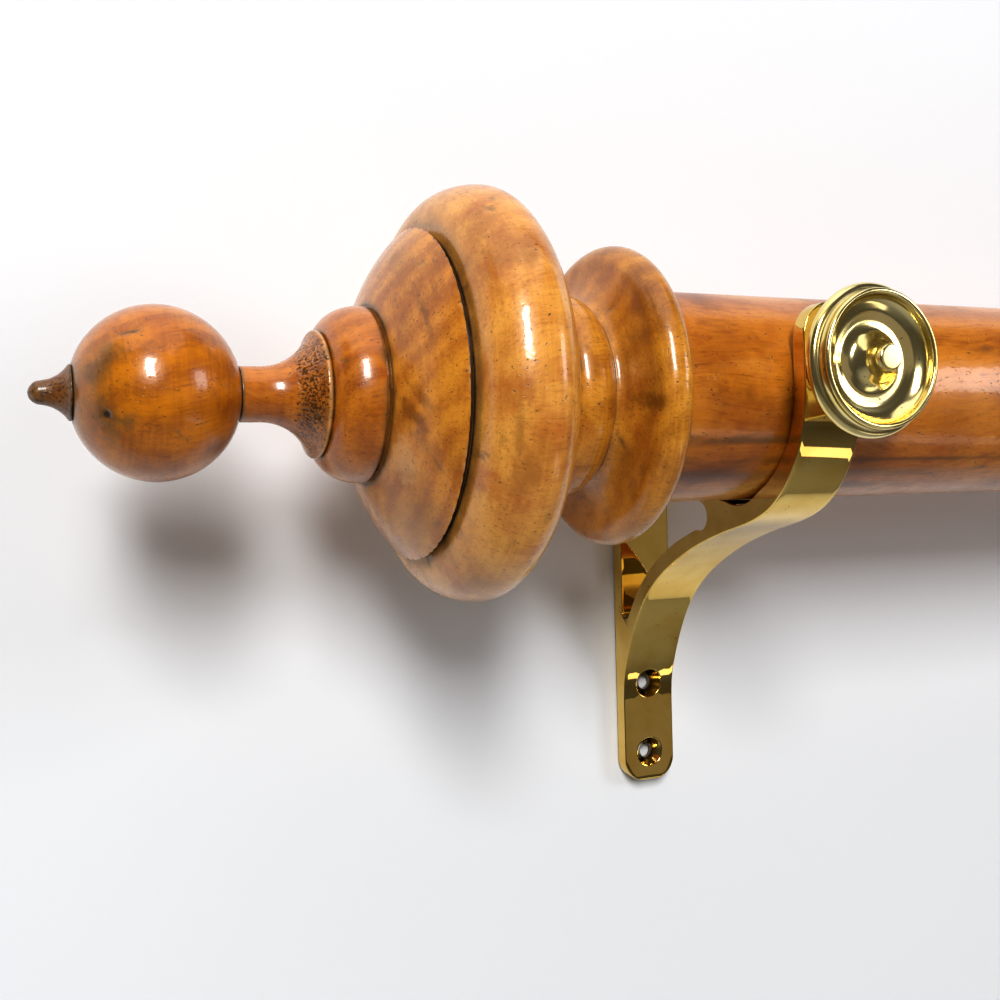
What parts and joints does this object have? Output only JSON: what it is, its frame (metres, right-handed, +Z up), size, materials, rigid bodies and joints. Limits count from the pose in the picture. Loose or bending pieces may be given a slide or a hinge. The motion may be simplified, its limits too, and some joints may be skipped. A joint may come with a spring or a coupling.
{
  "type": "curtain rod with brackets",
  "caption": "Wooden curtain pole with turned ball and ring finials, carried in front of a wall by curved brass cradle brackets with clamping knobs.",
  "frame": {"origin": "on the wall, half way along the pole, at the middle of the four lower screw holes", "axes": "+X along the pole, -Y away from the wall into the room, +Z up"},
  "size_m": [1.5324, 0.1373, 0.193],
  "materials": {
    "pole_wood": "glossy french polish",
    "turned_wood": "glossy french polish",
    "ring_wood": "worn french polish",
    "dowel_wood": "bare",
    "brass": "polished casting",
    "screw_brass": "turned"
  },
  "bodies": {
    "wall_brackets": {"left_bracket": "brass", "right_bracket": "brass"},
    "pole": {"pole": "pole_wood"},
    "left_clamp_screw": {"left_clamp_screw": "screw_brass"},
    "left_clamp_knob": {"left_clamp_knob": "brass"},
    "left_finial": {"left_tip_button": "turned_wood", "left_ball": "turned_wood", "left_stem": "turned_wood", "left_dome": "ring_wood", "left_big_ring": "ring_wood", "left_base": "turned_wood", "left_spigot": "dowel_wood"},
    "right_clamp_screw": {"right_clamp_screw": "screw_brass"},
    "right_clamp_knob": {"right_clamp_knob": "brass"},
    "right_finial": {"right_tip_button": "turned_wood", "right_ball": "turned_wood", "right_stem": "turned_wood", "right_dome": "ring_wood", "right_big_ring": "ring_wood", "right_base": "turned_wood", "right_spigot": "dowel_wood"}
  },
  "joints": [
    {"name": "pole_lift", "type": "slide", "parent": "wall_brackets", "child": "pole", "axis": [0, 0, 1], "range_m": [0, 0.12]},
    {"name": "left_clamp_feed", "type": "slide", "parent": "wall_brackets", "child": "left_clamp_screw", "axis": [0, -1, 0], "range_m": [-0.0006, 0.004]},
    {"name": "left_knob_turn", "type": "hinge", "parent": "left_clamp_screw", "child": "left_clamp_knob", "pos_m": [-0.552, -0.1266, 0.1182], "axis": [0, -1, 0], "range_deg": [-165, 1125]},
    {"name": "left_finial_pull", "type": "slide", "parent": "pole", "child": "left_finial", "axis": [-1, 0, 0], "range_m": [0, 0.045]},
    {"name": "right_clamp_feed", "type": "slide", "parent": "wall_brackets", "child": "right_clamp_screw", "axis": [0, -1, 0], "range_m": [-0.0006, 0.004]},
    {"name": "right_knob_turn", "type": "hinge", "parent": "right_clamp_screw", "child": "right_clamp_knob", "pos_m": [0.552, -0.1266, 0.1182], "axis": [0, -1, 0], "range_deg": [-165, 1125]},
    {"name": "right_finial_pull", "type": "slide", "parent": "pole", "child": "right_finial", "axis": [1, 0, 0], "range_m": [0, 0.045]}
  ],
  "couplings": [
    {"joint": "left_clamp_feed", "follows": "left_knob_turn", "m_per_rad": 0.00020213},
    {"joint": "right_clamp_feed", "follows": "right_knob_turn", "m_per_rad": 0.00020213}
  ]
}
